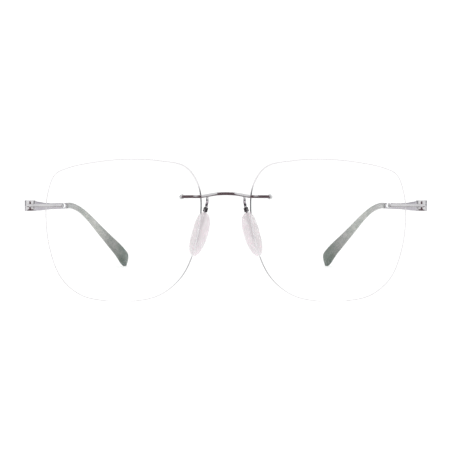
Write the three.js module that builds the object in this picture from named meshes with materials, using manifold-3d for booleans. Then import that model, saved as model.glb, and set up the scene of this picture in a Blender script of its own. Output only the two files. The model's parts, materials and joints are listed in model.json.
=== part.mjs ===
import * as THREE from "three";
import { mergeVertices } from "three/addons/utils/BufferGeometryUtils.js";
import Module from "manifold-3d";

// Rimless eyeglasses, standing open on the bottoms of the lenses and the ends of the temples.
// Millimetres. +X is the wearer's left, +Y runs back towards the ears, +Z is up.
// Everything is drawn for the wearer's left side and mirrored for the right one.

const wasm = await Module();
wasm.setup();

const { degToRad, lerp, clamp } = THREE.MathUtils;
const X_AXIS = new THREE.Vector3(1, 0, 0);
const Y_AXIS = new THREE.Vector3(0, 1, 0);
const Z_AXIS = new THREE.Vector3(0, 0, 1);

// The gap that neighbouring pieces keep, and the running clearance round each hinge pin.
const GAP = 0.05;
const RUNNING = 0.05;

// From the foremost point of the lenses to the middle of the open glasses, front to back.
const FRONT_TO_MIDDLE = 70;

// Lenses: 55 wide, 17.5 apart, ground from one sphere and turned back at the temples.
const LENS_WIDTH = 55;
const LENS_HEIGHT = 50.1;
const LENS_SPACING = 17.5;
const LENS_THICKNESS = 2;
const LENS_RADIUS = 118;
const LENS_WRAP = degToRad(4);
const LENS_SEGMENTS = 60;
const LENS_EDGE_BEVEL = 0.2;
// The outline about its middle, from the nose over the top to the temple and back underneath.
const LENS_OUTLINE = [
  [-27.5, 7], [-26.5, 16], [-21.9, 22.4], [-12.5, 24.55], [-1.5, 25.05], [10.5, 23.9],
  [19.9, 21.8], [24.3, 19.5], [26.8, 13], [27.5, 5.5], [26.2, -6.5], [22.2, -17.1],
  [15.4, -23], [6.5, -25.05], [-4, -25.05], [-12.8, -22.9], [-20, -17.2], [-24.4, -9],
];

// The strip that the bridge and the endpieces are bent from.
const STRIP_HEIGHT = 1.12;
const STRIP_THICKNESS = 0.9;

// What holds a strip on a lens: a stud through a flanged bushing, with a washer and a nut behind.
const STUD_RADIUS = 0.45;
const HOLE_RADIUS = 0.75;
const SLEEVE_RADIUS = 0.7;
const SLEEVE_END = 1.7;
const BORE_RADIUS = 0.5;
const FLANGE_RADIUS = 0.8;
const FLANGE_THICKNESS = 0.3;
const WASHER_RADIUS = 0.8;
const WASHER_THICKNESS = 0.3;
const NUT_RADIUS = 0.88;
const NUT_THICKNESS = 1.1;
const STUD_PROUD = 0.3;
const STAND_OFF = FLANGE_THICKNESS + 2 * GAP;

// Where the strips lie on the lens, about its middle.
const BRIDGE_LEVEL = 11.9;
const BRIDGE_HOLE = -20.9;
const BRIDGE_END = -20.5;
const ENDPIECE_LEVEL = 8.65;
const ENDPIECE_HOLE = 21.35;
const ENDPIECE_END = 20.95;
const LENS_NASAL_EDGE = -27.35;
const LENS_TEMPLE_EDGE = 27.35;
const LUG_DEPTH = 1.9;
const LUG_WIDTH = 0.6;

// Bridge: flat in the middle, forward of the lenses and a little above the tabs.
const BRIDGE_FLAT = 3.1;
const BRIDGE_FORWARD = -1.6;
const BRIDGE_RISE = 1.15;

// Temple hinges: the pin's middle, and how far it leans back so that it squares with the temple.
const PIN = new THREE.Vector3(69, 7.7, 33.4);
const PIN_LEAN = degToRad(4);
const PIN_AXIS = new THREE.Vector3(0, Math.sin(PIN_LEAN), Math.cos(PIN_LEAN));
const HINGE_RADIUS = 1.9;
const HINGE_HEIGHT = 3.76;
const SCREW_RADIUS = 0.7;
const SCREW_HEAD_RADIUS = 1.15;
const SCREW_HEAD_THICKNESS = 0.45;

// Temples: 145 from the hinge to the tip, with a sleeve over the last 71.
const TEMPLE_THICKNESS = 1;
const TEMPLE_HEIGHT = 2.2;
const SLEEVE_START = 74;
const CORE_LENGTH = 50;
const CORE_THICKNESS = 0.7;
const CORE_HEIGHT = 1.3;
const TIP_HEIGHT = 5.8;
const TIP_THICKNESS = 2.8;
const TIP_START_THICKNESS = 1.7;
const TIP_SWELL_START = 98;
const TIP_ROUND = 3.2;
const TIP_DROOP = 0.8;

// Nose pads: their pin, how the pad lies about it, and the pad's own size.
const PAD_PIN = new THREE.Vector3(7.2, 7.4, 31.9);
const PAD_SPLAY = degToRad(38);
const PAD_SLANT = degToRad(13);
const PAD_LEAN = degToRad(9);
const PAD_LENGTH = 15.8;
const PAD_WIDTH = 8;
const PAD_THICKNESS = 2.7;
const PAD_TOP = 0.95;
const PAD_BOX = { width: 0.9, depth: 1.6, top: 0.9, bottom: 0.7 };
const PAD_PIN_RADIUS = 0.3;
const PAD_EYE_RADIUS = 0.55;
const PAD_EYE_LENGTH = 0.9;
const PAD_TONGUE = { thickness: 0.5, width: 1.6, length: 11 };

// The arm of each pad: a strip that starts under the bridge and twists on its way back and down.
const ARM_THICKNESS = 0.5;
const ARM_WIDTH = 1;
const ARM_TWIST = [1.2, -0.3];
const ARM_POINTS = [[6.4, 0, 36.5], [6.42, 0.3, 35.9], [6.55, 2.7, 34.8], [6.8, 5.3, 33.9]];

const silver = { color: 0xc9c9cd, roughness: 0.2, metalness: 1 };
const darkSteel = { color: 0x57585c, roughness: 0.35, metalness: 1 };
const clearLens = { color: 0xf7f9fa, roughness: 0.05, metalness: 0, transparent: true, opacity: 0.25 };
const clearPlastic = { color: 0xe9ecee, roughness: 0.2, metalness: 0 };
const greenGrey = { color: 0x7d8782, roughness: 0.35, metalness: 0 };
const silicone = { color: 0xe6e3e6, roughness: 0.4, metalness: 0 };

function part(name, geometry, look) {
  const mesh = new THREE.Mesh(geometry, new THREE.MeshStandardMaterial(look));
  mesh.name = name;
  return mesh;
}

// A closed geometry as a solid that can be joined and cut.
function solid(geometry) {
  geometry.deleteAttribute("normal");
  geometry.deleteAttribute("uv");
  const merged = mergeVertices(geometry, 1e-4);
  const vertProperties = merged.getAttribute("position").array;
  const triVerts = new Uint32Array(merged.index.array);
  return new wasm.Manifold(new wasm.Mesh({ numProp: 3, vertProperties, triVerts }));
}

function geometryOf(body) {
  const { vertProperties, triVerts } = body.getMesh();
  const geometry = new THREE.BufferGeometry();
  geometry.setAttribute("position", new THREE.BufferAttribute(vertProperties, 3));
  geometry.setIndex(new THREE.BufferAttribute(triVerts, 1));
  geometry.computeVertexNormals();
  return geometry;
}

function join(first, ...others) {
  return geometryOf(others.reduce((body, other) => body.add(solid(other)), solid(first)));
}

function cut(first, ...others) {
  return geometryOf(others.reduce((body, other) => body.subtract(solid(other)), solid(first)));
}

// The placement that turns +Y to an axis and moves the origin to a point.
function placement(point, axis) {
  const turn = new THREE.Quaternion().setFromUnitVectors(Y_AXIS, axis);
  return new THREE.Matrix4().compose(point, turn, new THREE.Vector3(1, 1, 1));
}

// A round bar along +Y between two levels.
function bar(radius, from, to, sides = 16) {
  return new THREE.CylinderGeometry(radius, radius, to - from, sides).translate(0, (from + to) / 2, 0);
}

function box(width, depth, height) {
  return new THREE.BoxGeometry(width, depth, height);
}

// A turned ring about +Y: its outline as [radius, level] corners, the inner wall last.
function turned(outline, sides = 16) {
  const corners = [...outline, outline[0]].map(([radius, level]) => new THREE.Vector2(radius, level));
  return new THREE.LatheGeometry(corners, sides);
}

// A section one unit wide and high with rounded corners.
function roundedSection(corner) {
  const near = 0.5 - corner;
  const shape = new THREE.Shape();
  shape.moveTo(-near, -0.5);
  shape.lineTo(near, -0.5);
  shape.quadraticCurveTo(0.5, -0.5, 0.5, -near);
  shape.lineTo(0.5, near);
  shape.quadraticCurveTo(0.5, 0.5, near, 0.5);
  shape.lineTo(-near, 0.5);
  shape.quadraticCurveTo(-0.5, 0.5, -0.5, near);
  shape.lineTo(-0.5, -near);
  shape.quadraticCurveTo(-0.5, -0.5, -near, -0.5);
  return shape;
}

// A closed solid that carries a unit section through a row of stations.
function loft(section, stations) {
  const steps = stations.length - 1;
  const settings = { depth: 1, steps, curveSegments: 2, bevelEnabled: false };
  const geometry = new THREE.ExtrudeGeometry(section, settings);
  const position = geometry.getAttribute("position");
  const corner = new THREE.Vector3();
  for (let i = 0; i < position.count; i += 1) {
    corner.fromBufferAttribute(position, i);
    const { centre, side, up, width, height } = stations[Math.round(corner.z * steps)];
    const { x, y } = corner;
    corner.copy(centre).addScaledVector(side, x * width).addScaledVector(up, y * height);
    position.setXYZ(i, corner.x, corner.y, corner.z);
  }
  geometry.computeVertexNormals();
  return geometry;
}

// Stations along a curve, at distances from its start; upAt and sizeAt depend on the distance.
function stationsAlong(curve, distances, upAt, sizeAt) {
  const length = curve.getLength();
  return distances.map((distance) => {
    const along = clamp(distance / length, 0, 1);
    const tangent = curve.getTangentAt(along);
    const side = new THREE.Vector3().crossVectors(upAt(distance), tangent).normalize();
    const up = new THREE.Vector3().crossVectors(tangent, side);
    return { centre: curve.getPointAt(along), side, up, ...sizeAt(distance) };
  });
}

function evenly(from, to, count) {
  return Array.from({ length: count + 1 }, (_, i) => lerp(from, to, i / count));
}

// A value that runs smoothly through [distance, value] pairs.
function through(pairs, distance) {
  const next = pairs.findIndex(([at]) => at >= distance);
  if (next < 0) return pairs[pairs.length - 1][1];
  if (next === 0) return pairs[0][1];
  const [from, before] = pairs[next - 1];
  const [to, after] = pairs[next];
  return lerp(before, after, THREE.MathUtils.smoothstep(distance, from, to));
}

const RING_OF_STRIP = roundedSection(0.3);

// ---------------------------------------------------------------------------------- lenses

const LENS_PLACE = new THREE.Matrix4()
  .makeTranslation((LENS_SPACING + LENS_WIDTH) / 2, 0, LENS_HEIGHT / 2)
  .multiply(new THREE.Matrix4().makeRotationZ(LENS_WRAP));

// How far the front surface falls back, u across and v above the middle of the lens.
function sag(u, v) {
  return LENS_RADIUS - Math.sqrt(LENS_RADIUS ** 2 - u ** 2 - v ** 2);
}

// The direction through the lens from front to back.
function inward(u, v) {
  return new THREE.Vector3(-u, LENS_RADIUS - sag(u, v), -v).normalize();
}

// The placement with +Y through the lens from the front surface at u, v, in the side's frame.
function onLens(u, v) {
  return LENS_PLACE.clone().multiply(placement(new THREE.Vector3(u, sag(u, v), v), inward(u, v)));
}

// The middle of a strip that lies on a lens at u, v.
function stripOnLens(u, v) {
  const level = -(STAND_OFF + STRIP_THICKNESS / 2);
  return new THREE.Vector3(0, level, 0).applyMatrix4(onLens(u, v));
}

function lensBlank() {
  const corners = LENS_OUTLINE.map(([u, v]) => new THREE.Vector3(u, v, 0));
  const outline = new THREE.CatmullRomCurve3(corners, true).getSpacedPoints(LENS_SEGMENTS);
  const rim = 1 - LENS_EDGE_BEVEL / (LENS_HEIGHT / 2);
  const bevel = LENS_EDGE_BEVEL / LENS_THICKNESS;
  const profile = [[0, 0], [0.45, 0], [0.82, 0], [rim, 0], [1, bevel]];
  const back = profile.map(([ring, depth]) => [ring, 1 - depth]).reverse();
  const lathe = [...profile, ...back].map(([ring, depth]) => new THREE.Vector2(ring, depth));
  const geometry = new THREE.LatheGeometry(lathe, LENS_SEGMENTS);
  const position = geometry.getAttribute("position");
  for (let i = 0; i < position.count; i += 1) {
    const ring = Math.hypot(position.getX(i), position.getZ(i));
    const turn = Math.atan2(position.getX(i), position.getZ(i)) / (2 * Math.PI);
    const around = Math.round(turn * LENS_SEGMENTS + LENS_SEGMENTS) % LENS_SEGMENTS;
    const u = ring * outline[around].x;
    const v = Math.max(ring * outline[around].y, -LENS_HEIGHT / 2);
    position.setXYZ(i, u, sag(u, v) + position.getY(i) * LENS_THICKNESS, v);
  }
  return geometry;
}

function lensHole(u, v) {
  const drill = bar(HOLE_RADIUS, -1, LENS_THICKNESS + 1);
  return drill.applyMatrix4(placement(new THREE.Vector3(u, sag(u, v), v), inward(u, v)));
}

function lens(side) {
  const holes = [lensHole(BRIDGE_HOLE, BRIDGE_LEVEL), lensHole(ENDPIECE_HOLE, ENDPIECE_LEVEL)];
  const mesh = part(`lens_${side}`, cut(lensBlank(), ...holes), clearLens);
  mesh.applyMatrix4(LENS_PLACE);
  return mesh;
}

// ------------------------------------------------------------------- fixings on the lenses

const WASHER_LEVEL = LENS_THICKNESS + 2 * GAP;
const NUT_LEVEL = WASHER_LEVEL + WASHER_THICKNESS + GAP;
const STUD_END = NUT_LEVEL + NUT_THICKNESS + STUD_PROUD;

function bushing() {
  return turned([
    [BORE_RADIUS, -GAP - FLANGE_THICKNESS],
    [FLANGE_RADIUS, -GAP - FLANGE_THICKNESS],
    [FLANGE_RADIUS, -GAP],
    [SLEEVE_RADIUS, -GAP],
    [SLEEVE_RADIUS, SLEEVE_END],
    [BORE_RADIUS, SLEEVE_END],
  ]);
}

function washer() {
  const top = WASHER_LEVEL + WASHER_THICKNESS;
  return turned([
    [BORE_RADIUS, WASHER_LEVEL],
    [WASHER_RADIUS, WASHER_LEVEL],
    [WASHER_RADIUS, top],
    [BORE_RADIUS, top],
  ]);
}

function nut() {
  const hexagon = bar(NUT_RADIUS, NUT_LEVEL, NUT_LEVEL + NUT_THICKNESS, 6);
  return cut(hexagon, bar(BORE_RADIUS, NUT_LEVEL - 1, STUD_END));
}

function lensFixing(owner, side, u, v) {
  const group = new THREE.Group();
  group.add(part(`${owner}_bushing_${side}`, bushing(), clearPlastic));
  group.add(part(`${owner}_washer_${side}`, washer(), clearPlastic));
  group.add(part(`${owner}_nut_${side}`, nut(), silver));
  group.applyMatrix4(onLens(u, v));
  return group;
}

function stud(u, v) {
  return bar(STUD_RADIUS, -STAND_OFF - STRIP_THICKNESS / 2, STUD_END, 12).applyMatrix4(onLens(u, v));
}

// A lug behind a strip that bears on the edge of the lens; outward is +1 on its temple side.
function lug(edge, v, outward) {
  const front = sag(edge, v) - STAND_OFF - STRIP_THICKNESS / 2;
  const reach = LUG_DEPTH + STRIP_THICKNESS / 2;
  const block = box(LUG_WIDTH, reach, STRIP_HEIGHT * 0.8);
  block.translate(edge + outward * (LUG_WIDTH / 2 + 2 * GAP), front + reach / 2, v);
  return block.applyMatrix4(LENS_PLACE);
}

// ---------------------------------------------------------------------------------- bridge

function mirrored(geometry) {
  const copy = geometry.clone().scale(-1, 1, 1);
  const flat = copy.index ? copy.toNonIndexed() : copy;
  const position = flat.getAttribute("position");
  const swap = new THREE.Vector3();
  for (let i = 0; i < position.count; i += 3) {
    swap.fromBufferAttribute(position, i + 1);
    position.setXYZ(i + 1, position.getX(i + 2), position.getY(i + 2), position.getZ(i + 2));
    position.setXYZ(i + 2, swap.x, swap.y, swap.z);
  }
  return flat;
}

function bridgeCurve() {
  const tab = [BRIDGE_END, -24, LENS_NASAL_EDGE].map((u) => stripOnLens(u, BRIDGE_LEVEL));
  const foot = tab[2];
  const flatLevel = foot.z + BRIDGE_RISE - 0.15;
  const bend = new THREE.Vector3(foot.x - 0.9, lerp(foot.y, BRIDGE_FORWARD, 0.12), foot.z + 0.12);
  const rise = new THREE.Vector3(BRIDGE_FLAT + 0.8, lerp(BRIDGE_FORWARD, foot.y, 0.12), flatLevel - 0.1);
  const flat = new THREE.Vector3(BRIDGE_FLAT - 0.4, BRIDGE_FORWARD, flatLevel + 0.05);
  const middle = new THREE.Vector3(0, BRIDGE_FORWARD, foot.z + BRIDGE_RISE);
  const half = [...tab, bend, rise, flat];
  const other = half.map(({ x, y, z }) => new THREE.Vector3(-x, y, z)).reverse();
  return new THREE.CatmullRomCurve3([...half, middle, ...other], false, "centripetal");
}

function bridge() {
  const curve = bridgeCurve();
  const size = { width: STRIP_THICKNESS, height: STRIP_HEIGHT };
  const strip = loft(
    RING_OF_STRIP,
    stationsAlong(curve, evenly(0, curve.getLength(), 26), () => Z_AXIS, () => size),
  );
  const fittings = [stud(BRIDGE_HOLE, BRIDGE_LEVEL), lug(LENS_NASAL_EDGE, BRIDGE_LEVEL, -1)];
  return part("bridge", join(strip, ...fittings, ...fittings.map(mirrored)), silver);
}

// ------------------------------------------------------------------------ endpiece and hinge

const PIN_PLACE = placement(PIN, PIN_AXIS);

// The height at which the plane square to the hinge pin stands over a point y.
function hingeLevel(y) {
  return PIN.z - (y - PIN.y) * Math.tan(PIN_LEAN);
}

function endpieceCurve() {
  const points = [ENDPIECE_END, 24.2, LENS_TEMPLE_EDGE].map((u) => stripOnLens(u, ENDPIECE_LEVEL));
  points.forEach((point) => {
    point.z = hingeLevel(point.y);
  });
  const offset = HINGE_RADIUS - STRIP_THICKNESS / 2;
  const heading = points[2].clone().sub(points[1]).setZ(0).normalize();
  const across = new THREE.Vector3(heading.y, -heading.x, 0);
  const end = PIN.clone().addScaledVector(across, offset);
  points.push(end.setZ(hingeLevel(end.y)));
  return new THREE.CatmullRomCurve3(points, false, "centripetal");
}

function endpiece(side) {
  const curve = endpieceCurve();
  const size = { width: STRIP_THICKNESS, height: STRIP_HEIGHT };
  const strip = loft(
    RING_OF_STRIP,
    stationsAlong(curve, evenly(0, curve.getLength(), 10), () => PIN_AXIS, () => size),
  );
  const knuckle = bar(HINGE_RADIUS, -STRIP_HEIGHT / 2, STRIP_HEIGHT / 2, 28).applyMatrix4(PIN_PLACE);
  const bore = bar(SCREW_RADIUS + RUNNING, -2, 2, 24).applyMatrix4(PIN_PLACE);
  const fittings = [stud(ENDPIECE_HOLE, ENDPIECE_LEVEL), lug(LENS_TEMPLE_EDGE, ENDPIECE_LEVEL, 1)];
  const whole = join(strip, knuckle, ...fittings);
  return part(`endpiece_${side}`, cut(whole, bore), silver);
}

// The screw rides with the temple: its head is let into the upper eye.
function hingeScrew(side) {
  const top = HINGE_HEIGHT / 2 - GAP;
  const shank = bar(SCREW_RADIUS, -top, top - 0.1, 24);
  const head = bar(SCREW_HEAD_RADIUS - GAP, top - SCREW_HEAD_THICKNESS, top, 24);
  const slot = box(3, 0.5, 0.35).translate(0, top, 0);
  const mesh = part(`hinge_screw_${side}`, cut(join(shank, head), slot), silver);
  mesh.applyMatrix4(PIN_PLACE);
  return mesh;
}

// --------------------------------------------------------------------------------- temples

// The middle line of the temple from the hinge pin to the end of the tip.
const TEMPLE_CURVE = new THREE.CatmullRomCurve3(
  [
    [69, 7.7, 33.4], [66.6, 32, 31.65], [64.2, 58, 30.05], [62.2, 80, 28.8], [60.6, 96, 27.7],
    [58.1, 104.6, 25.55], [55.1, 112, 21.85], [51.7, 120, 16.8], [48, 128.2, 11.5], [44.4, 136, 6.35],
    [41.7, 141.7, 1.55],
  ].map((point) => new THREE.Vector3(...point)),
  false,
  "centripetal",
);
const TEMPLE_LENGTH = TEMPLE_CURVE.getLength();
const TEMPLE_HEIGHTS = [[2, HINGE_HEIGHT], [6, 3.7], [14, 3.2], [30, 2.5], [42, TEMPLE_HEIGHT]];
const TEMPLE_ROOT = [[0, 3], [3, 1.7], [9, TEMPLE_THICKNESS]];
const CORE_END = SLEEVE_START + CORE_LENGTH;
const CORE_DISTANCES = evenly(SLEEVE_START, CORE_END, 14);
const SHOULDER = 0.3;

function templeSize(distance) {
  return { width: through(TEMPLE_ROOT, distance), height: through(TEMPLE_HEIGHTS, distance) };
}

// The slim core inside the sleeve, or with room to spare the pocket that takes it.
function coreStations(distances, room) {
  const size = { width: CORE_THICKNESS + room, height: CORE_HEIGHT + room };
  return stationsAlong(TEMPLE_CURVE, distances, () => PIN_AXIS, () => size);
}

function temple(side) {
  const strip = [0, 3, 6, 9, 14, 22, 30, 42, 53, 64, SLEEVE_START - SHOULDER];
  const outside = stationsAlong(TEMPLE_CURVE, strip, () => PIN_AXIS, templeSize);
  const inside = coreStations([SLEEVE_START - SHOULDER / 2, ...CORE_DISTANCES], 0);
  const shaft = loft(RING_OF_STRIP, [...outside, ...inside]);
  const eye = bar(HINGE_RADIUS, -HINGE_HEIGHT / 2, HINGE_HEIGHT / 2, 28);
  const slot = bar(HINGE_RADIUS + 2 * GAP, -STRIP_HEIGHT / 2 - GAP, STRIP_HEIGHT / 2 + GAP, 28);
  const bore = bar(SCREW_RADIUS + 0.03, -3, 3, 24);
  const seat = bar(SCREW_HEAD_RADIUS, HINGE_HEIGHT / 2 - SCREW_HEAD_THICKNESS - 2 * GAP, 3, 24);
  const cuts = [slot, bore, seat].map((geometry) => geometry.applyMatrix4(PIN_PLACE));
  return part(`temple_${side}`, cut(join(shaft, eye.applyMatrix4(PIN_PLACE)), ...cuts), silver);
}

// The sleeve is as slim as the temple at first, swells behind the bend and ends round.
function tipSize(distance) {
  const swell = clamp((distance - TIP_SWELL_START) / (TEMPLE_LENGTH - 4 - TIP_SWELL_START), 0, 1);
  const into = clamp((distance - TEMPLE_LENGTH + TIP_ROUND) / TIP_ROUND, 0, 0.95);
  const round = Math.sqrt(1 - into ** 2);
  const fullHeight = lerp(TEMPLE_HEIGHT, TIP_HEIGHT, swell ** 1.4);
  return {
    width: lerp(TIP_START_THICKNESS, TIP_THICKNESS, swell) * lerp(1, round, 0.8),
    height: fullHeight * round,
    droop: ((1 - round) * fullHeight * TIP_DROOP) / 2,
  };
}

// The tip rounds off more above than below, so that its lower corner reaches the ground.
function tipStations(distances) {
  const stations = stationsAlong(TEMPLE_CURVE, distances, () => PIN_AXIS, tipSize);
  stations.forEach(({ centre, up, droop }) => centre.addScaledVector(up, -droop));
  return stations;
}

function templeTip(side) {
  const swelling = evenly(CORE_END + 3, TEMPLE_LENGTH - TIP_ROUND, 5);
  const rounding = evenly(TEMPLE_LENGTH - TIP_ROUND * 0.7, TEMPLE_LENGTH, 3);
  const distances = [...CORE_DISTANCES, ...swelling, ...rounding];
  const stations = tipStations(distances);
  const pocket = coreStations([SLEEVE_START - 1, ...CORE_DISTANCES, CORE_END + 0.3], 2 * GAP);
  const end = stations[stations.length - 1].centre;
  const ground = box(60, 60, 10).translate(end.x, end.y, -5);
  const body = cut(loft(roundedSection(0.42), stations), loft(RING_OF_STRIP, pocket), ground);
  return part(`temple_tip_${side}`, body, greenGrey);
}

// ------------------------------------------------------------------------------- nose pads

// The pad's frame at its pin: x out of the outer face, y back along the pin, z up the pad.
function padFrame() {
  const frame = new THREE.Group();
  frame.position.copy(PAD_PIN);
  frame.rotation.set(PAD_LEAN, -PAD_SLANT, -PAD_SPLAY, "ZYX");
  frame.updateMatrix();
  return frame;
}

// The twisted strip that carries the pad: from under the bridge back and down to the pad's box.
function padArm(side) {
  const free = ARM_POINTS.map((point) => new THREE.Vector3(...point));
  const overBox = [0.6, GAP].map((gap) => {
    return new THREE.Vector3(0, 0, PAD_BOX.top + gap).applyMatrix4(padFrame().matrix);
  });
  const curve = new THREE.CatmullRomCurve3([...free, ...overBox]);
  const length = curve.getLength();
  const upAt = (distance) => X_AXIS.clone().applyAxisAngle(Z_AXIS, lerp(...ARM_TWIST, distance / length));
  const size = { width: ARM_THICKNESS, height: ARM_WIDTH };
  const stations = stationsAlong(curve, evenly(0, length, 14), upAt, () => size);
  return part(`pad_arm_${side}`, loft(RING_OF_STRIP, stations), silver);
}

function padBox() {
  const { width, depth, top, bottom } = PAD_BOX;
  const block = box(width, depth, top + bottom).translate(0, 0, (top - bottom) / 2);
  const mouth = box(2, PAD_EYE_LENGTH + 2 * GAP, 2).translate(0, 0, PAD_EYE_RADIUS + GAP - 1);
  return cut(block, mouth, bar(PAD_PIN_RADIUS + 0.03, -2, 2, 12));
}

function padCore() {
  const { thickness, width, length } = PAD_TONGUE;
  const eye = bar(PAD_EYE_RADIUS, -PAD_EYE_LENGTH / 2, PAD_EYE_LENGTH / 2);
  const neck = box(thickness, PAD_EYE_LENGTH, 1.4).translate(0, 0, -0.7);
  const tongue = box(thickness, width, length).translate(0, 0, -PAD_TOP - 0.35 - length / 2);
  return cut(join(eye, neck, tongue), bar(PAD_PIN_RADIUS + RUNNING, -2, 2, 12));
}

// An oval cushion, flatter on the nose side, with a pocket for the tongue of the core.
function nosePad() {
  const shape = new THREE.SphereGeometry(0.5, 20, 12).rotateX(Math.PI / 2);
  shape.scale(PAD_THICKNESS, PAD_WIDTH, PAD_LENGTH).translate(0, 0, -PAD_TOP - PAD_LENGTH / 2);
  const { thickness, width, length } = PAD_TONGUE;
  const reach = length + 0.4;
  const pocket = box(thickness + 2 * GAP, width + 2 * GAP, reach).translate(0, 0, -PAD_TOP - reach / 2);
  return cut(shape, pocket);
}

function nosePadParts(side) {
  const frame = padFrame();
  frame.add(part(`pad_box_${side}`, padBox(), darkSteel));
  frame.add(part(`pad_pin_${side}`, bar(PAD_PIN_RADIUS, -1.1, 1.1, 12), darkSteel));
  frame.add(part(`pad_core_${side}`, padCore(), clearPlastic));
  frame.add(part(`nose_pad_${side}`, nosePad(), silicone));
  return frame;
}

// ------------------------------------------------------------------------------ the glasses

function halfGlasses(side) {
  const half = new THREE.Group();
  half.add(lens(side));
  half.add(lensFixing("bridge", side, BRIDGE_HOLE, BRIDGE_LEVEL));
  half.add(lensFixing("endpiece", side, ENDPIECE_HOLE, ENDPIECE_LEVEL));
  half.add(endpiece(side), hingeScrew(side), temple(side), templeTip(side));
  half.add(padArm(side), nosePadParts(side));
  return half;
}

const glasses = new THREE.Group();
const rightHalf = halfGlasses("right");
rightHalf.scale.x = -1;
glasses.add(bridge(), halfGlasses("left"), rightHalf);
glasses.position.y = -FRONT_TO_MIDDLE;

export default glasses;
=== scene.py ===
import json
import math
import bmesh
import bpy
import numpy as np
from mathutils import Matrix, Vector


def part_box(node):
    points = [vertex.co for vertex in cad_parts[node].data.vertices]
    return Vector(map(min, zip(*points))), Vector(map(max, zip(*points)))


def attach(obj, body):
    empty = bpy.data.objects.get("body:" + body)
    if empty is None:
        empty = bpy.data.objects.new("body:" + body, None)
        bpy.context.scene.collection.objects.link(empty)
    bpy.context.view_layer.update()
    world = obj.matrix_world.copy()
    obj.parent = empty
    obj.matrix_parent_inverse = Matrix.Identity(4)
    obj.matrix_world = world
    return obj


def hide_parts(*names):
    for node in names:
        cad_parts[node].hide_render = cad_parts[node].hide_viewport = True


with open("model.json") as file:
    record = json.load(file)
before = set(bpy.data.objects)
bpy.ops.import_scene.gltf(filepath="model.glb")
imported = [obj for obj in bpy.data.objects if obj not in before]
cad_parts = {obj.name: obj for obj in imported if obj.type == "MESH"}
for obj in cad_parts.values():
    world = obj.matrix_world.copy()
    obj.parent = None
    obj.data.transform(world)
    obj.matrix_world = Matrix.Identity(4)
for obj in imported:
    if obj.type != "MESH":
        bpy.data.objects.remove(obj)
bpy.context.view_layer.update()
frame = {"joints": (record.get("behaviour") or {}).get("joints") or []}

# Rimless eyeglasses, standing open. Shapes are drawn in millimetres about the front of the
# lenses for the wearer's left side, and the right side is their mirror image.
# +X is the wearer's left, +Y runs back towards the ears, +Z is up.

MM = 0.001
UP = Vector((0, 0, 1))
BACK = Vector((0, 1, 0))
JOINTS = {joint["name"]: joint for joint in frame["joints"]}


def joint_place(name):
    """A joint's point, in millimetres, and its axis."""
    joint = JOINTS[name]
    return Vector(joint["pos_m"]) / MM, Vector(joint["axis"]).normalized()


# The row frame's origin is in the middle of the open glasses; the drawing's is at the lenses.
HINGE_BACK = 7.7
HINGE_ROW, HINGE_AXIS = joint_place("temple_left_fold")
PAD_ROW, PAD_AXIS = joint_place("pad_left_rock")
MIDDLE = Vector((0, HINGE_ROW.y - HINGE_BACK, 0))
HINGE = HINGE_ROW - MIDDLE
PAD_PIN = PAD_ROW - MIDDLE
TO_ROW = Matrix.Scale(MM, 4) @ Matrix.Translation(MIDDLE)

# Lenses
LENS_HEIGHT = 50.1
LENS_CENTRE = Vector((36.25, 0, LENS_HEIGHT / 2))
LENS_THICKNESS = 2.0
LENS_RADIUS = 118.0
LENS_WRAP = math.radians(4)
LENS_PLACE = Matrix.Translation(LENS_CENTRE) @ Matrix.Rotation(LENS_WRAP, 4, "Z")
LENS_EDGE_BEVEL = 0.32
LENS_RINGS = 22
LENS_AROUND = 288
LENS_OUTLINE = [
    (-27.5, 7), (-26.5, 16), (-21.9, 22.4), (-12.5, 24.55), (-1.5, 25.05), (10.5, 23.9),
    (19.9, 21.8), (24.3, 19.5), (26.8, 13), (27.5, 5.5), (26.2, -6.5), (22.2, -17.1),
    (15.4, -23), (6.5, -25.05), (-4, -25.05), (-12.8, -22.9), (-20, -17.2), (-24.4, -9),
]

# Strips and the fixings that hold them on the lenses
GAP = 0.05
STRIP_HEIGHT = 1.12
STRIP_THICKNESS = 0.9
STRIP_CORNER = 0.13
STUD_RADIUS = 0.45
HOLE_RADIUS = 0.75
SLEEVE_RADIUS = 0.7
SLEEVE_END = 1.7
BORE_RADIUS = 0.5
FLANGE_RADIUS = 0.8
FLANGE_THICKNESS = 0.3
WASHER_RADIUS = 0.8
WASHER_THICKNESS = 0.3
NUT_RADIUS = 0.88
NUT_THICKNESS = 1.1
STUD_PROUD = 0.3
STAND_OFF = FLANGE_THICKNESS + 2 * GAP
WASHER_LEVEL = LENS_THICKNESS + 2 * GAP
NUT_LEVEL = WASHER_LEVEL + WASHER_THICKNESS + GAP
STUD_END = NUT_LEVEL + NUT_THICKNESS + STUD_PROUD
BRIDGE_LEVEL = 11.9
BRIDGE_HOLE = -20.9
BRIDGE_END = -20.5
ENDPIECE_LEVEL = 8.65
ENDPIECE_HOLE = 21.35
ENDPIECE_END = 20.95
LENS_NASAL_EDGE = -27.35
LENS_TEMPLE_EDGE = 27.35
LUG_DEPTH = 1.9
LUG_WIDTH = 0.6
BRIDGE_FLAT = 3.1
BRIDGE_FORWARD = -1.6
BRIDGE_RISE = 1.15

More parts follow.
